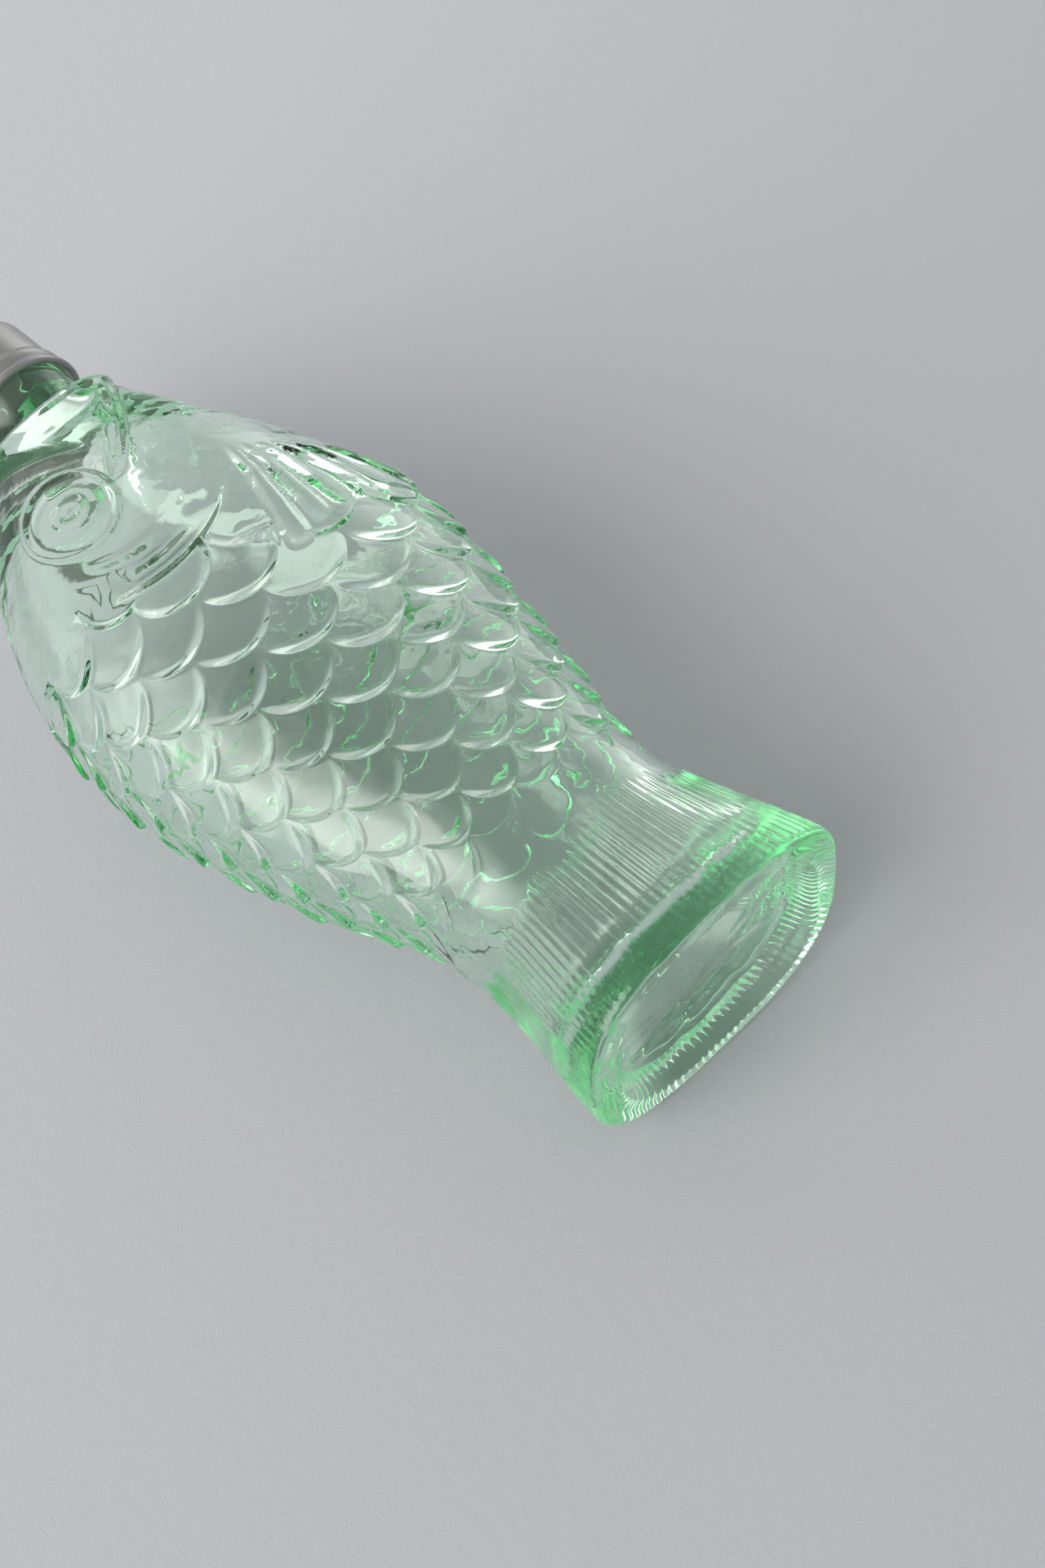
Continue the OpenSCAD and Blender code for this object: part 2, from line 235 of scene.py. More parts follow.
def eye_relief(z, y, base):
    """The pupil, the ring round it and the socket's rim."""
    dz, dy = z - EYE[0], y - EYE[1]
    k = np.hypot(dz, dy)
    for _ in range(6):
        k = np.hypot(dz / (1 + 0.34 * ease((k - 5) / 5)), dy)
    level = FLAT - 0.12 + 0.36 * hump(k, 1.4, 1.2) + 0.32 * hump(k, 5.4, 1.3) + 0.4 * hump(k, 11.2, 0.9)
    inside = ease((13.4 - k) / 1.4)
    return base * (1 - inside) + level * inside


def jaw_relief(z, y, base):
    """The lower jaw's edge, along JAW."""
    best, side, at = np.full(z.shape, 1e9), np.zeros(z.shape), np.zeros(z.shape)
    for i in range(len(JAW) - 1):
        a, v = JAW[i], JAW[i + 1] - JAW[i]
        t = np.clip(((z - a[0]) * v[0] + (y - a[1]) * v[1]) / (v @ v), 0, 1)
        dz, dy = z - a[0] - t * v[0], y - a[1] - t * v[1]
        dist = np.hypot(dz, dy)
        s = (v[0] * dy - v[1] * dz) / math.sqrt(v @ v)
        near = dist < best
        best = np.where(near, dist, best)
        side = np.where(near, np.sign(s) * dist, side)
        at = np.where(near, i + t, at)
    fade = np.sin(np.pi * (at + 0.6) / 9.2)
    # the jaw rises over 5 mm of cheek and falls steeply to the throat
    cheek = -side
    level = FLAT - 0.2 + 0.95 * np.where(cheek < 0, ease((cheek + 5.5) / 5.5), ease((1.8 - cheek) / 1.8))
    height = -0.8 + (level + 0.8) * fade
    return np.where((cheek > -5.5) & (cheek < 1.8) & (best < 5.6), soft_max(base, height, 0.3), base)


def fan_relief(z, y, base, a, b, c, d, bars, rise):
    """Ribs spread from the line a-b at the root to the line c-d at the tips."""
    a, b, c, d = (np.array(v, float) for v in (a, b, c, d))
    along_fan, across = np.full(z.shape, 0.5), np.full(z.shape, 0.5)
    for _ in range(12):
        p = a + (c - a) * along_fan[..., None]
        q = b + (d - b) * along_fan[..., None]
        w = q - p
        across = ((z - p[..., 0]) * w[..., 0] + (y - p[..., 1]) * w[..., 1]) / (w ** 2).sum(-1)
        p = a + (b - a) * across[..., None]
        q = c + (d - c) * across[..., None]
        w = q - p
        along_fan = ((z - p[..., 0]) * w[..., 0] + (y - p[..., 1]) * w[..., 1]) / (w ** 2).sum(-1)
    v = np.clip(across, 0, 1)
    bar = np.abs(np.sin(np.pi * bars * v)) ** 0.6
    reach = 1 + 0.1 * bar
    f = ease(along_fan / 0.4) * np.sqrt(np.clip(1 - (np.clip(along_fan / reach - 0.82, 0, None) / 0.18) ** 2, 0, 1))
    height = -1.0 + (rise + 1.0) * f * (0.25 + 0.75 * bar)
    inside = (across > 0) & (across < 1) & (along_fan > 0) & (along_fan < reach)
    return np.where(inside, soft_max(base, height, 0.3), base)


def mouth_depth(z, y):
    """Depth of the wedge that opens from the mouth's corner to the lips."""
    v = GAPE - CORNER
    t = np.clip(((z - CORNER[0]) * v[0] + (y - CORNER[1]) * v[1]) / (v @ v), 0, 1.35)
    dist = np.hypot(z - CORNER[0] - t * v[0], y - CORNER[1] - t * v[1])
    width = 0.5 + 3.1 * (1 - np.clip(1 - t, 0, 1) ** 2.5)
    return np.clip(width - dist, 0, None) * ease(t * 8)


def head_relief(z, y, base):
    d = jaw_relief(z, y, base)
    d = gill_relief(z, y, d)
    d = eye_relief(z, y, d)
    d = fan_relief(z, y, d, *BELLY_FIN)
    d = fan_relief(z, y, d, *CHEEK_FAN)
    return d - mouth_depth(z, y)


# ---- rings of points, tail to neck and back down the inside ----
def tail_ring(z, n, ribs, rib_d, k=1.0, h=None):
    """A section of the tail, whose ribs are uneven as a mould leaves them."""
    ph = around(n)
    fade = rib_fade(z, ph)
    uneven = 0.7 + 0.3 * np.sin(5 * ph + 1) * np.sin(17 * ph)
    d = -rib_d * uneven * (0.5 - 0.5 * np.cos(ribs * ph)) * fade
    p = skin(z, ph, d, k)
    return np.column_stack([p, np.full(n, z if h is None else h)]), 0.0


def rib_fade(z, ph):
    """Where the ribs start, at the foot, and where they end."""
    edge = 37 + 2.2 * np.sin(3 * ph + 1) + 1.2 * np.sin(7 * ph) + 0.8 * np.sin(23 * ph)
    return (0.55 * ease((z - 1.0) / 1.5) + 0.45 * ease((z - 3) / 6)) * ease((edge - z) / 5)


def scale_ring(L, scale_h):
    """One line across the scales' lattice."""
    n = CUTS * SCALES_ROUND
    o = L % 2
    m = 2 * np.arange(n) + o
    i, j = (L + m) // 2, (L - m) // 2
    A, B = i // CUTS, j // CUTS
    p, q = CUT[i % CUTS], CUT[j % CUTS]
    a, b = A + p + 0.95 * bow(q), B + q + 0.95 * bow(p)
    z, ph = row_z(a + b), turn((a - b) / 2)
    carving = np.column_stack([z, ph, scale_relief(A, B, p, q, scale_h)])
    return carved(carving), o / 2, carving


def carved(carving):
    """Points of the skin for rows of height, angle and plain relief, with the head's carving on them."""
    z, ph, base = carving.T
    y = skin(z, ph)[:, 1]
    return np.column_stack([skin(z, ph, head_relief(z, y, base)), z])


def needs_detail(carving):
    """Where the head's carving is finer than the rings."""
    z, ph, base = carving.T
    y = skin(z, ph)[:, 1]
    eye = np.hypot((z - EYE[0]) / 1.3, y - EYE[1]) < 13.5
    gill = (np.abs(np.hypot(z - GILL[0], y - GILL[1]) - 21) < 8.5) & (z < 178)
    fin = (z > 134) & (z < 178) & (y > -1) & (y < 0.93 * FRONT_W)
    return (base > FLAT - 0.3) & (eye | gill | fin)


# How a triangle is cut when its sides 0, 1, 2 get the middle points 3, 4, 5
SPLITS = {0: [(0, 1, 2)],
          1: [(0, 3, 2), (3, 1, 2)],
          2: [(0, 1, 4), (0, 4, 2)],
          4: [(0, 1, 5), (5, 1, 2)],
          3: [(3, 1, 4), (0, 3, 4), (0, 4, 2)],
          6: [(4, 2, 5), (0, 1, 4), (0, 4, 5)],
          5: [(0, 3, 5), (3, 1, 2), (3, 2, 5)],
          7: [(0, 3, 5), (3, 1, 4), (5, 4, 2), (3, 4, 5)]}


def refine(points, carving, faces, longest):
    """Splits the long edges in the carved places and lays the new points on the carving."""
    pairs = np.sort(faces[:, [0, 1, 1, 2, 2, 0]].reshape(-1, 2), axis=1)
    edges, of_face = np.unique(pairs, axis=0, return_inverse=True)
    a, b = edges.T
    known = ~np.isnan(carving[:, 0])
    wanted = np.zeros(len(points), bool)
    wanted[known] = needs_detail(carving[known])
    cut = wanted[a] & wanted[b] & (np.linalg.norm(points[a] - points[b], axis=1) > longest)
    middle = np.full(len(edges), -1)
    middle[cut] = len(points) + np.arange(cut.sum())
    one, two = carving[a[cut]], carving[b[cut]]
    added = (one + two) / 2
    added[:, 1] = one[:, 1] + ((two[:, 1] - one[:, 1] + np.pi) % (2 * np.pi) - np.pi) / 2
    sides = middle[of_face.reshape(-1, 3)]
    corners = np.column_stack([faces, sides])
    kind = (sides >= 0) @ [1, 2, 4]
    made = [corners[kind == k][:, list(tri)] for k, tris in SPLITS.items() for tri in tris]
    return np.concatenate([points, carved(added)]), np.concatenate([carving, added]), np.concatenate(made)


def head_ring(z, n):
    """A section of the head, drawn back at the mouth's corners and flared at the lips."""
    ph = turn(SCALES_ROUND * np.arange(n) / n)
    zz = z - gape_dip(ph) * ease((z / BODY_H - 0.8) / 0.2)
    y = skin(zz, ph)[:, 1]
    lip = LIP * np.exp(-((zz + gape_dip(ph) - BODY_H + 2.5) / 3.4) ** 2)
    d = head_relief(zz, y, np.full(n, FLAT)) + lip
    return np.column_stack([skin(zz, ph, d), zz]), 0.0, np.column_stack([zz, ph, np.full(n, FLAT)])


def round_ring(n, z, r, dip=0.0):
    ph = around(n)
    r = np.broadcast_to(r, (n,))
    return np.column_stack([r * np.cos(ph), r * np.sin(ph), z - dip * gape_dip(ph)]), 0.0


def thread_rise(z, n):
    """Height of the neck's thread over the neck at height z, one value for each column."""
    ph = np.arange(n) / n
    run = (z - (CAP_Z + 7)) / PITCH
    turns = run - ph
    near = np.round(turns)
    start = ph + near
    fade = ease((start + 0.05) / 0.12) * ease((1.62 - start) / 0.12)
    return THREAD_RISE * fade * ease(1 - np.abs(turns - near) * PITCH / THREAD_W)


def loft(rings, steps):
    """Rings in between, on a smooth curve through the given ones."""
    r = np.array(rings)
    t = np.linspace(0, len(r) - 1, steps)
    i = np.clip(t.astype(int), 0, len(r) - 2)
    f = (t - i)[:, None, None]
    a, b, c, d = r[np.clip(i - 1, 0, None)], r[i], r[i + 1], r[np.clip(i + 2, None, len(r) - 1)]
    return 0.5 * (2 * b + (c - a) * f + (2 * a - 5 * b + 4 * c - d) * f ** 2 + (3 * b - a - 3 * c + d) * f ** 3)


# The glass's rings. Under the foot: share of the section and height, the recess first and then the bearing ring
RECESS = ((0.15, 3.7), (0.35, 3.7), (0.52, 3.65), (0.64, 3.5))
BEARING = ((0.7, 3.2), (0.74, 2.7), (0.768, 1.9), (0.788, 1.0), (0.808, 0.4), (0.83, 0.08), (0.86, 0.0), (0.92, 0.0),
           (0.95, 0.06))
FOOT_EDGE = ((0.972, 0.35), (0.988, 0.9), (0.997, 1.7))
TAIL = (2.8, 4, 6, 9, 13, 18, 23, 28, 30.5, 32.5, 34, 35.5, 37, 38.5, 40, 42)
WAIST = (44.5, 47)
# Height over the lips and radius
LIPS = ((0.5, 15.9), (0.8, 15.2), (1.5, 14.75), (2.4, 14.4), (3.6, NECK_R))
BEAD_Z = CAP_Z - BODY_H
NECK = ((7, NECK_R), (BEAD_Z + 1, NECK_R), (BEAD_Z + 1.5, NECK_R + 0.5), (BEAD_Z + 2.1, NECK_R + 0.7),
        (BEAD_Z + 3.3, NECK_R + 0.7), (BEAD_Z + 3.9, NECK_R + 0.4), (BEAD_Z + 4.5, NECK_R))
# Height over the rim and what comes off the neck's radius
RIM = ((-1.9, 0), (-1.2, -0.1), (-0.5, -0.45), (-0.1, -1.0), (0, -1.6), (0, -3.2), (-0.2, -3.9), (-0.7, -4.45))
# The inner wall's stations, as shares of the body's height, and its bottom: share of the section, height, waviness
INNER = (0.97, 0.92, 0.84, 0.74, 0.64, 0.54, 0.44, 0.34, 0.24, 0.15, 0.1, 0.07)
BOTTOM = ((0.975, 14.0, 1), (0.93, 11.9, 1), (0.86, 10.6, 0.8), (0.74, 9.6, 0.5), (0.5, 8.8, 0.2), (0.25, 8.4, 0))
FOOT_MIDDLE, BOTTOM_MIDDLE = (0, 0, RECESS[0][1]), (0, 0, 8.3)
# Points in the rings, how many rings, and the longest edge in the carved places
FOOT_N, HEAD_N, NECK_N = 112, 336, 96
HEAD_RINGS, INNER_RINGS = 67, 46
LONGEST = 1.15


def outer_rings(ribs, rib_d, scale_h):
    """The outer skin, from the foot's middle to the rim."""
    tail_n, rings = 4 * ribs, []
    for k, h in RECESS:
        rings.append((np.column_stack([skin(0, around(FOOT_N), 0, k), np.full(FOOT_N, h)]), 0.0))
    for k, h in BEARING:
        rings.append(tail_ring(0.0, tail_n, ribs, 0, k, h))
    for k, z in FOOT_EDGE:
        rings.append(tail_ring(z, tail_n, ribs, rib_d, k))
    for z in TAIL:
        rings.append(tail_ring(z, tail_n, ribs, rib_d))
    for z in WAIST:
        rings.append(tail_ring(z, 2 * CUTS * SCALES_ROUND, ribs, 0))
    for L in range(CUTS * ROWS, 2 * CUTS - 1, -1):
        rings.append(scale_ring(L, scale_h))
    z0 = row_z(1.9)
    for i in range(HEAD_RINGS):
        rings.append(head_ring(z0 + (BODY_H - z0) * (i + 0.4) / (HEAD_RINGS - 0.6), HEAD_N))
    for z, r in LIPS:
        rings.append(round_ring(NECK_N * 2, BODY_H + z, r, 1))
    for z, r in NECK:
        rings.append(round_ring(NECK_N, BODY_H + z, r, ease((11 - z) / 5)))
    for z in np.arange(CAP_Z + 5.2, RIM_Z - 2.4, 0.45):
        rings.append(round_ring(NECK_N, z, NECK_R + thread_rise(z, NECK_N)))
    for z, r in RIM:
        rings.append(round_ring(NECK_N, RIM_Z + z, NECK_R + r))
    return rings


def inner_rings():
    """The bore and the inner wall, down to the floor, whose corner is wavy where the glass was blown."""
    inner = [round_ring(NECK_N, z, BORE_R)[0] for z in (RIM_Z - 1.4, RIM_Z - 10, BODY_H + 14, BODY_H + 6)]
    ph = around(NECK_N)
    wave = 0.45 * np.sin(5 * ph + 0.6) + 0.4 * np.sin(11 * ph + 2) + 0.25 * np.sin(19 * ph)
    for t in INNER:
        z = t * BODY_H
        inset = WALL + 1.5 * ease((0.62 - t) / 0.2) + 4.2 * ease((t - 0.82) / 0.16) + wave * ease((0.11 - t) / 0.04)
        inner.append(np.column_stack([skin(z, ph, 0, 1, inset), np.full(NECK_N, z)]))
    for k, h, w in BOTTOM:
        inner.append(np.column_stack([skin(z, ph, 0, k, inset * k), h + 0.7 * w * wave]))
    return [(points, 0.0) for points in loft(inner, INNER_RINGS)]


def band(start_a, n, fa, start_b, m, fb):
    """Triangles between two rings of any counts, each edge going to the nearest point of the other ring."""
    fb = fb + 0.0007
    i = np.arange(n)
    j = np.ceil((i + 0.5 + fa) / n * m - fb - 0.5).astype(int)
    one = np.column_stack([start_a + i, start_b + j % m, start_a + (i + 1) % n])
    j = np.arange(m)
    i = np.floor((j + 0.5 + fb) / m * n - fa - 0.5).astype(int) + 1
    two = np.column_stack([start_a + i % n, start_b + j, start_b + (j + 1) % m])
    return np.concatenate([one, two])


def rings_to_mesh(name, rings, first, last):
    """A closed mesh through the rings, closed by one point at either end."""
    points = [np.array([first], float)] + [r[0] for r in rings] + [np.array([last], float)]
    start = np.cumsum([1] + [len(r[0]) for r in rings])
    n = len(rings[0][0])
    i = np.arange(n)
    faces = [np.column_stack([np.zeros(n, int), start[0] + i, start[0] + (i + 1) % n])]
    for k in range(len(rings) - 1):
        faces.append(band(start[k], len(rings[k][0]), rings[k][1], start[k + 1], len(rings[k + 1][0]), rings[k + 1][1]))
    n = len(rings[-1][0])
    i = np.arange(n)
    end = start[-1]
    faces.append(np.column_stack([end - n + i, np.full(n, end), end - n + (i + 1) % n]))
    unknown = [np.full((len(r), 3), np.nan) for r in points]
    for k, ring in enumerate(rings):
        if len(ring) > 2:
            unknown[k + 1] = ring[2]
    verts, faces = np.concatenate(points), np.concatenate(faces)
    verts, carving, faces = refine(verts, np.concatenate(unknown), faces, LONGEST)
    mesh = bpy.data.meshes.new(name)
    mesh.from_pydata(verts.tolist(), [], faces.tolist())
    known = ~np.isnan(carving[:, 0])
    z, ph, _ = carving[known].T
    # how deep the mouth's wedge is; this places the glass's painted dark green shade there
    deep = np.zeros(len(verts))
    deep[known] = ease(mouth_depth(z, skin(z, ph)[:, 1]) / 0.5)
    mesh.attributes.new("deep", "FLOAT", "POINT").data.foreach_set("value", deep.astype(np.float32))
    mesh.transform(LAY)
    mesh.update()
    piece = bpy.data.objects.new(name, mesh)
    bpy.context.scene.collection.objects.link(piece)
    volume = signed_volume(mesh)
    if volume < 0:
        mesh.flip_normals()
    return piece


def signed_volume(mesh):
    bm = bmesh.new()
    bm.from_mesh(mesh)
    volume = bm.calc_volume(signed=True)
    bm.free()
    return volume


# ---- shader maths ----
class Val:
    """A socket that takes part in expressions: each operator adds its Math node."""

    def __init__(self, shade, socket):
        self.shade, self.socket = shade, socket

    def _math(self, operation, *values):
        return self.shade.node("ShaderNodeMath", {"operation": operation}, dict(enumerate(values)))

    def __add__(self, other): return self._math("ADD", self, other)
    def __radd__(self, other): return self._math("ADD", other, self)
    def __sub__(self, other): return self._math("SUBTRACT", self, other)
    def __rsub__(self, other): return self._math("SUBTRACT", other, self)
    def __mul__(self, other): return self._math("MULTIPLY", self, other)
    def __rmul__(self, other): return self._math("MULTIPLY", other, self)


class Shade:
    """A material's or world's node tree, built with one method."""

    def __init__(self, owner):
        owner.use_nodes = True
        self.tree = owner.node_tree
        self.tree.nodes.clear()

    def node(self, kind, settings=None, sockets=None, out=0):
        made = self.tree.nodes.new(kind)
        for key, value in (settings or {}).items():
            if key == "stops":
                ramp = made.color_ramp.elements
                while len(ramp) < len(value):
                    ramp.new(0.5)
                for element, (at, colour) in zip(ramp, value):
                    element.position, element.color = at, colour
            else:
                setattr(made, key, value)
        for key, value in (sockets or {}).items():
            if isinstance(value, Val):
                self.tree.links.new(value.socket, made.inputs[key])
            else:
                made.inputs[key].default_value = value
        return Val(self, made.outputs[out]) if len(made.outputs) else made


def new_shade(name):
    material = bpy.data.materials.new(name)
    return material, Shade(material)


def rgb(colour, shade=1.0):
    return (*(c * shade for c in colour[:3]), 1.0)


def noise(s, place, scale, detail, roughness=0.5):
    """Cloudy pattern; a larger scale makes it finer."""
    return s.node("ShaderNodeTexNoise", None,
                  {"Vector": place, "Scale": scale, "Detail": detail, "Roughness": roughness})


def bump(s, height, strength, distance):
    return s.node("ShaderNodeBump", None, {"Strength": strength, "Distance": distance, "Height": height})


def blend(s, amount, one, two):
    """The first colour where the amount is 0, the second where it is 1."""
    return s.node("ShaderNodeMix", {"data_type": "RGBA"}, {0: amount, 6: one, 7: two}, out=2)


# ---- settings ----
def colour_setting(name, description, default):
    return bpy.props.FloatVectorProperty(
        name=name, description=description, subtype="COLOR", size=3, default=default, min=0, max=1)


class GlassSettings(bpy.types.PropertyGroup):
    """Sizes and look of the moulded glass"""
    tail_ribs: bpy.props.IntProperty(
        name="Tail ribs", description="Ribs round the tail", default=112, min=40, max=112)
    rib_depth: bpy.props.FloatProperty(
        name="Rib depth", description="Depth of a tail rib, in millimetres", default=0.55, min=0.1, max=0.6)
    scale_height: bpy.props.FloatProperty(
        name="Scale height", description="Rise of a scale's free edge, in millimetres", default=1.7, min=0.8, max=1.7)
    tint: colour_setting("Tint", "Colour that the glass lets through", (0.16, 0.90, 0.40))
    blush: colour_setting("Surface tint", "Tint that light takes as it enters and leaves the glass",
                          (0.945, 1.0, 0.966))
    # Mouth is a painted shade: the dark green that the wedge shows where the eye looks along the glass
    mouth: colour_setting("Mouth", "Green of the mouth's deep wedge", (0.03, 0.085, 0.04))
    density: bpy.props.FloatProperty(
        name="Density", description="Strength of the tint over a metre of glass", default=14.5, min=0, max=60)


class CapSettings(bpy.types.PropertyGroup):
    """Look of the aluminium cap and its liner"""
    metal: colour_setting("Aluminium", "Colour of the cap", (0.37, 0.37, 0.365))
    lacquer: colour_setting("Lacquer", "Colour of the coat inside the cap", (0.80, 0.80, 0.76))
    satin: bpy.props.FloatProperty(
        name="Satin", description="Roughness of the cap's finish", subtype="FACTOR", default=0.42, min=0, max=1)
    liner: colour_setting("Liner", "Colour of the liner", (0.84, 0.83, 0.78))


class StageSettings(bpy.types.PropertyGroup):
    """The paper, the lights and the camera"""
    paper: colour_setting("Paper", "Colour of the paper", (0.50, 0.51, 0.54))
    key: bpy.props.FloatProperty(
        name="Window", description="Brightness of the middle of the soft window", default=5.6, min=0, max=40)
    fill: bpy.props.FloatProperty(
        name="Far window", description="Brightness of the fainter window across the table", default=1.4,
        min=0, max=40)
    spread: bpy.props.FloatProperty(
        name="Window size", description="Angle from the window's middle to its edge, in degrees", default=40.0,
        min=5, max=80)
    sky: bpy.props.FloatProperty(
        name="Sky", description="Strength of the light from all round", default=0.52, min=0, max=2)


def glass_material(settings):
    material, s = new_shade("moulded_glass")
    place = s.node("ShaderNodeTexCoord", out=3)
    ripple = bump(s, noise(s, place, 60.0, 2.0, 0.4) + noise(s, place, 240.0, 1.0) * 0.18, 0.5, 0.0007)
    clear = s.node("ShaderNodeBsdfPrincipled", None, {
        "Base Color": rgb(settings.blush), "Roughness": 0.0, "IOR": 1.5, "Transmission Weight": 1.0, "Normal": ripple})
    # painted shade: in the mouth's wedge an opaque dark green stands in for the full green that the eye sees looking
    # along the glass
    painted_mouth_shade = s.node("ShaderNodeBsdfPrincipled", None, {
        "Base Color": rgb(settings.mouth), "Roughness": 0.12, "IOR": 1.5, "Normal": ripple})
    deep = s.node("ShaderNodeAttribute", {"attribute_name": "deep"}, out=2)
    surface = s.node("ShaderNodeMixShader", None, {0: deep * 0.92, 1: clear, 2: painted_mouth_shade})
    inside = s.node("ShaderNodeVolumeAbsorption", None, {"Color": rgb(settings.tint), "Density": settings.density})
    s.node("ShaderNodeOutputMaterial", None, {"Surface": surface, "Volume": inside})
    return material


def aluminium_material(settings):
    material, s = new_shade("satin_aluminium")
    place = s.node("ShaderNodeTexCoord", out=3)
    cloud, grain = noise(s, place, 45.0, 3.0), noise(s, place, 900.0, 4.0)
    surface = s.node("ShaderNodeBsdfPrincipled", None, {
        "Base Color": blend(s, cloud, rgb(settings.metal, 0.93), rgb(settings.metal)), "Metallic": 1.0,
        "Roughness": settings.satin + (cloud - 0.5) * 0.12, "Normal": bump(s, grain, 0.2, 0.0001)})
    s.node("ShaderNodeOutputMaterial", None, {"Surface": surface})
    return material


def lacquer_material(settings):
    material, s = new_shade("cap_lacquer")
    place = s.node("ShaderNodeTexCoord", out=3)
    colour = blend(s, noise(s, place, 300.0, 2.0), rgb(settings.lacquer, 0.95), rgb(settings.lacquer))
    surface = s.node("ShaderNodeBsdfPrincipled", None, {"Base Color": colour, "Roughness": 0.4})
    s.node("ShaderNodeOutputMaterial", None, {"Surface": surface})
    return material


def liner_material(settings):
    material, s = new_shade("liner_foam")
    place = s.node("ShaderNodeTexCoord", out=3)
    grain = noise(s, place, 1400.0, 2.0)
    surface = s.node("ShaderNodeBsdfPrincipled", None, {
        "Base Color": blend(s, grain, rgb(settings.liner, 0.9), rgb(settings.liner)), "Roughness": 0.7,
        "Normal": bump(s, grain, 0.3, 0.0001)})
    s.node("ShaderNodeOutputMaterial", None, {"Surface": surface})
    return material


def paper_material(settings):
    material, s = new_shade("grey_paper")
    place = s.node("ShaderNodeTexCoord", out=3)
    tooth, pulp = noise(s, place, 1500.0, 3.0, 0.6), noise(s, place, 260.0, 2.0)
    # painted shade: the sheet's colour grows darker away from the window, standing in for the light's falloff
    across = s.node("ShaderNodeVectorMath", {"operation": "DOT_PRODUCT"}, {0: place, 1: (0.8, 0.6, 0)}, out=1)
    painted_falloff = s.node("ShaderNodeMapRange", {"interpolation_type": "SMOOTHSTEP"},
                  {0: across, 1: -0.2, 2: 0.4, 3: 0.0, 4: 1.0})
    surface = s.node("ShaderNodeBsdfPrincipled", None, {
        "Base Color": blend(s, painted_falloff, rgb(settings.paper), rgb(settings.paper, 0.78)), "Roughness": 0.85,
        "Specular IOR Level": 0.25, "Normal": bump(s, tooth + pulp * 0.8, 0.3, 0.0003)})
    s.node("ShaderNodeOutputMaterial", None, {"Surface": surface})
    return material


def deselect():
    """Leaves object mode with nothing selected."""
    if bpy.context.object and bpy.context.object.mode != "OBJECT":
        bpy.ops.object.mode_set(mode="OBJECT")
    bpy.ops.object.select_all(action="DESELECT")


def finish_piece(piece, body, node):
    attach(piece, body)
    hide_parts(node)


# ---- operators ----
# The cap's outer face from the bead at its open end to its top: radius and height
CAP_PROFILE = [
    (BEAD_R - 1.9, 0.55), (BEAD_R - 1.5, 0.12), (BEAD_R - 1.0, 0), (BEAD_R - 0.4, 0.22), (BEAD_R - 0.05, 0.8),
    (BEAD_R, 1.35), (BEAD_R - 0.08, 1.9), (BEAD_R - 0.45, 2.4), (BEAD_R - 1.0, 2.7), (CAP_R - 0.05, 3.0),
    (CAP_R - 0.1, 3.4), (CAP_R + 0.15, 4.0), (CAP_R + 0.5, 4.7), (CAP_R + 0.72, 5.4), (CAP_R + 0.75, 6.1),
    (CAP_R + 0.66, 6.9), (CAP_R + 0.4, 7.6), (CAP_R - 0.05, 8.3), (CAP_R - 0.22, 8.8), (CAP_R - 0.1, 9.4),
    (CAP_R, 10.0), (CAP_R, 14), (CAP_R, 19), (CAP_R, CAP_H - 2), (CAP_R - 0.12, CAP_H - 1.25),
    (CAP_R - 0.5, CAP_H - 0.62), (CAP_R - 1.05, CAP_H - 0.2), (CAP_R - 1.75, CAP_H), (10, CAP_H), (4, CAP_H)]
# Where the windows stand, seen from the bottle
WINDOW, FAR_WINDOW, SIDE_WINDOW = (0.04, -0.88, 0.40), (-0.45, 0.85, 0.22), (-0.97, -0.2, 0.15)
CAMERA = Matrix(((0.690289, -0.527710, 0.494998, 0.333526), (0.718640, 0.579491, -0.384378, -0.192655),
                 (-0.084007, 0.621058, 0.779250, 0.458063), (0, 0, 0, 1)))


class FISH_OT_glass(bpy.types.Operator):
    """Builds the moulded glass bottle"""
    bl_idname = "fish_bottle.glass"
    bl_label = "Glass bottle"

    def execute(self, context):
        settings = context.scene.fish_glass
        deselect()
        rings = outer_rings(settings.tail_ribs, settings.rib_depth, settings.scale_height) + inner_rings()
        piece = rings_to_mesh("glass_bottle", rings, FOOT_MIDDLE, BOTTOM_MIDDLE)
        piece.data.shade_smooth()
        piece.data.materials.append(glass_material(settings))
        finish_piece(piece, "bottle", "bottle")
        return {"FINISHED"}


class FISH_OT_cap(bpy.types.Operator):
    """Spins the screw cap from aluminium sheet"""
    bl_idname = "fish_bottle.cap"
    bl_label = "Screw cap"

    def execute(self, context):
        settings = context.scene.fish_cap
        deselect()
        (radius, height), *_ = CAP_PROFILE
        bpy.ops.mesh.primitive_circle_add(vertices=160, radius=radius, location=(0, 0, CAP_Z + height))
        piece = context.object
        piece.name = piece.data.name = "screw_cap"
        bpy.ops.object.mode_set(mode="EDIT")
        bpy.ops.mesh.select_all(action="SELECT")
        for (r0, z0), (r1, z1) in zip(CAP_PROFILE, CAP_PROFILE[1:]):
            bpy.ops.mesh.extrude_region_move(TRANSFORM_OT_translate={"value": (0, 0, z1 - z0)})
            bpy.ops.transform.resize(value=(r1 / r0, r1 / r0, 1), center_override=(0, 0, CAP_Z + z1))
        bpy.ops.mesh.merge(type="CENTER")
        bpy.ops.mesh.select_all(action="SELECT")
        bpy.ops.mesh.normals_make_consistent(inside=False)
        bpy.ops.object.mode_set(mode="OBJECT")
        bpy.ops.object.transform_apply(location=True, rotation=True, scale=True)
        # the wall's outer faces take the first material, the inner ones the second
        piece.data.materials.append(aluminium_material(settings))
        piece.data.materials.append(lacquer_material(settings))
        solid = piece.modifiers.new("sheet", "SOLIDIFY")
        solid.thickness, solid.offset, solid.material_offset = SHEET, -1, 1
        bpy.ops.object.modifier_apply(modifier=solid.name)
        bpy.ops.object.shade_smooth_by_angle(angle=math.radians(50))
        piece.data.transform(LAY)
        finish_piece(piece, "cap", "cap")
        return {"FINISHED"}


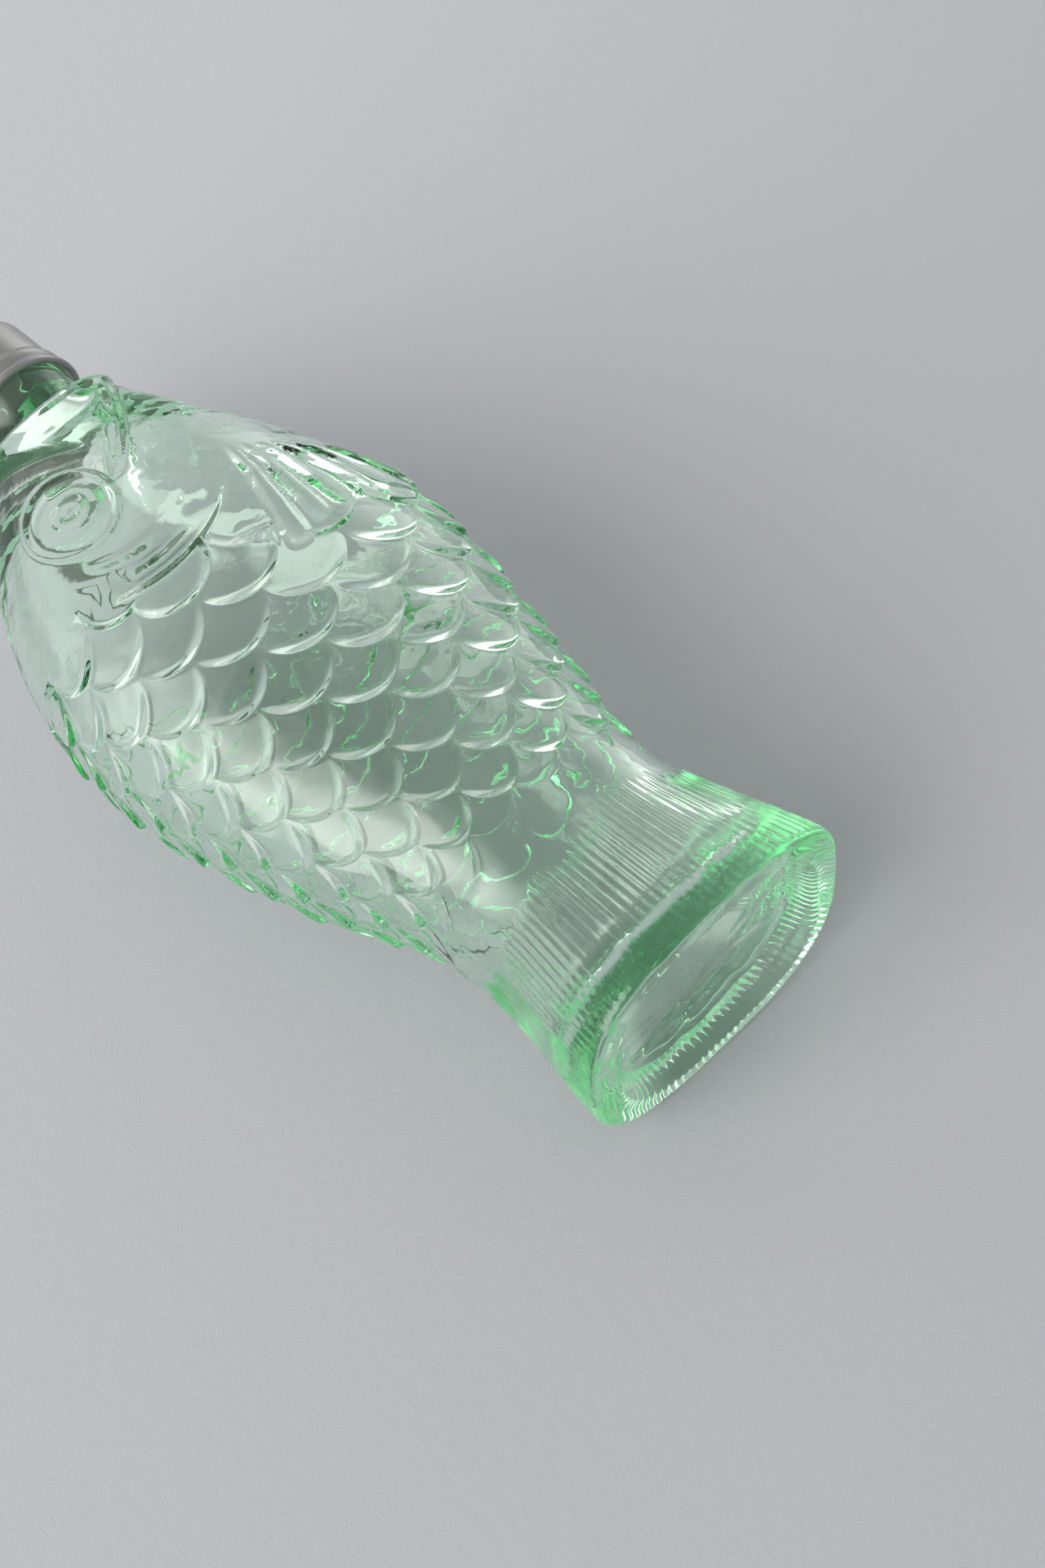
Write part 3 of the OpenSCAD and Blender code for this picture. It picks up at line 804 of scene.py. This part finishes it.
class FISH_OT_liner(bpy.types.Operator):
    """Presses the liner that seals the cap"""
    bl_idname = "fish_bottle.liner"
    bl_label = "Liner"

    def execute(self, context):
        settings = context.scene.fish_cap
        deselect()
        bpy.ops.mesh.primitive_cylinder_add(
            vertices=128, radius=CAP_R - SHEET - LINER_GAP, depth=LINER_T, location=(0, 0, RIM_Z + LINER_T / 2))
        piece = context.object
        piece.name = piece.data.name = "cap_liner"
        bpy.ops.object.transform_apply(location=True, rotation=True, scale=True)
        edge = piece.modifiers.new("edge", "BEVEL")
        edge.width, edge.segments, edge.limit_method = 0.3, 3, "ANGLE"
        bpy.ops.object.modifier_apply(modifier=edge.name)
        bpy.ops.object.shade_smooth_by_angle(angle=math.radians(40))
        piece.data.transform(LAY)
        piece.data.materials.append(liner_material(settings))
        finish_piece(piece, "liner", "liner")
        return {"FINISHED"}


class FISH_OT_stage(bpy.types.Operator):
    """Lays the paper and sets the soft lights and the camera"""
    bl_idname = "fish_bottle.stage"
    bl_label = "Stage"

    def execute(self, context):
        settings = context.scene.fish_stage
        deselect()
        bpy.ops.mesh.primitive_plane_add(size=6.0, location=(0, 0, 0))
        floor = context.object
        floor.name = floor.data.name = "paper_floor"
        bpy.ops.object.mode_set(mode="EDIT")
        bpy.ops.mesh.subdivide(number_cuts=7)
        bpy.ops.object.mode_set(mode="OBJECT")
        floor.data.materials.append(paper_material(settings))

        world = bpy.data.worlds.new("studio")
        context.scene.world = world
        s = Shade(world)
        place = s.node("ShaderNodeTexCoord", out=0)
        split = s.node("ShaderNodeSeparateXYZ", None, {0: place}, out=2)
        stops = [(0.0, (0.75, 0.76, 0.78, 1)), (0.5, (0.85, 0.86, 0.88, 1)), (1.0, (1.0, 1.0, 1.0, 1))]
        tone = s.node("ShaderNodeValToRGB", {"stops": stops}, {0: split * 0.5 + 0.5})
        back = s.node("ShaderNodeBackground", None, {"Color": tone, "Strength": settings.sky})
        # the windows are patches of sky with soft edges
        glow = 0.0
        for way, spread, strength in ((WINDOW, settings.spread, settings.key), (FAR_WINDOW, 30.0, settings.fill),
                                      (SIDE_WINDOW, 50.0, settings.fill * 0.5)):
            facing = s.node("ShaderNodeVectorMath", {"operation": "DOT_PRODUCT"},
                            {0: place, 1: Vector(way).normalized()}, out=1)
            edge = math.cos(math.radians(spread))
            glow = glow + s.node("ShaderNodeMapRange", {"interpolation_type": "SMOOTHERSTEP"},
                                 {0: facing, 1: edge, 2: 1.0, 3: 0.0, 4: strength})
        window = s.node("ShaderNodeBackground", None, {"Color": (1.0, 0.99, 0.97, 1), "Strength": glow})
        both = s.node("ShaderNodeAddShader", None, {0: back, 1: window})
        s.node("ShaderNodeOutputWorld", None, {"Surface": both})

        # light that runs round inside the wall of glass needs many reflections
        context.scene.cycles.max_bounces = context.scene.cycles.transmission_bounces = 32
        context.scene.cycles.glossy_bounces = 24

        camera = bpy.data.objects.new("camera", bpy.data.cameras.new("camera"))
        camera.data.sensor_fit, camera.data.sensor_height, camera.data.lens = "VERTICAL", 36.0, 53.4375
        camera.data.clip_start, camera.data.clip_end = 0.01, 20
        camera.matrix_world = CAMERA
        context.scene.collection.objects.link(camera)
        context.scene.camera = camera
        context.scene.view_settings.view_transform = "Standard"
        return {"FINISHED"}


class FISH_PT_panel(bpy.types.Panel):
    """Lists the bottle's pieces and settings"""
    bl_idname = "FISH_PT_panel"
    bl_label = "Fish bottle"
    bl_space_type = "VIEW_3D"
    bl_region_type = "UI"
    bl_category = "Fish bottle"

    def draw(self, context):
        column = self.layout.column()
        for operator in OPERATORS:
            column.operator(operator.bl_idname)
        for group in (context.scene.fish_glass, context.scene.fish_cap, context.scene.fish_stage):
            for name in group.__annotations__:
                column.prop(group, name)


OPERATORS = (FISH_OT_glass, FISH_OT_cap, FISH_OT_liner, FISH_OT_stage)
CLASSES = (GlassSettings, CapSettings, StageSettings, *OPERATORS, FISH_PT_panel)


def register():
    for cls in CLASSES:
        bpy.utils.register_class(cls)
    bpy.types.Scene.fish_glass = bpy.props.PointerProperty(type=GlassSettings)
    bpy.types.Scene.fish_cap = bpy.props.PointerProperty(type=CapSettings)
    bpy.types.Scene.fish_stage = bpy.props.PointerProperty(type=StageSettings)


def unregister():
    del bpy.types.Scene.fish_glass, bpy.types.Scene.fish_cap, bpy.types.Scene.fish_stage
    for cls in reversed(CLASSES):
        bpy.utils.unregister_class(cls)


def main():
    register()
    bpy.ops.fish_bottle.glass()
    bpy.ops.fish_bottle.cap()
    bpy.ops.fish_bottle.liner()
    bpy.ops.fish_bottle.stage()


if __name__ == "__main__":
    main()
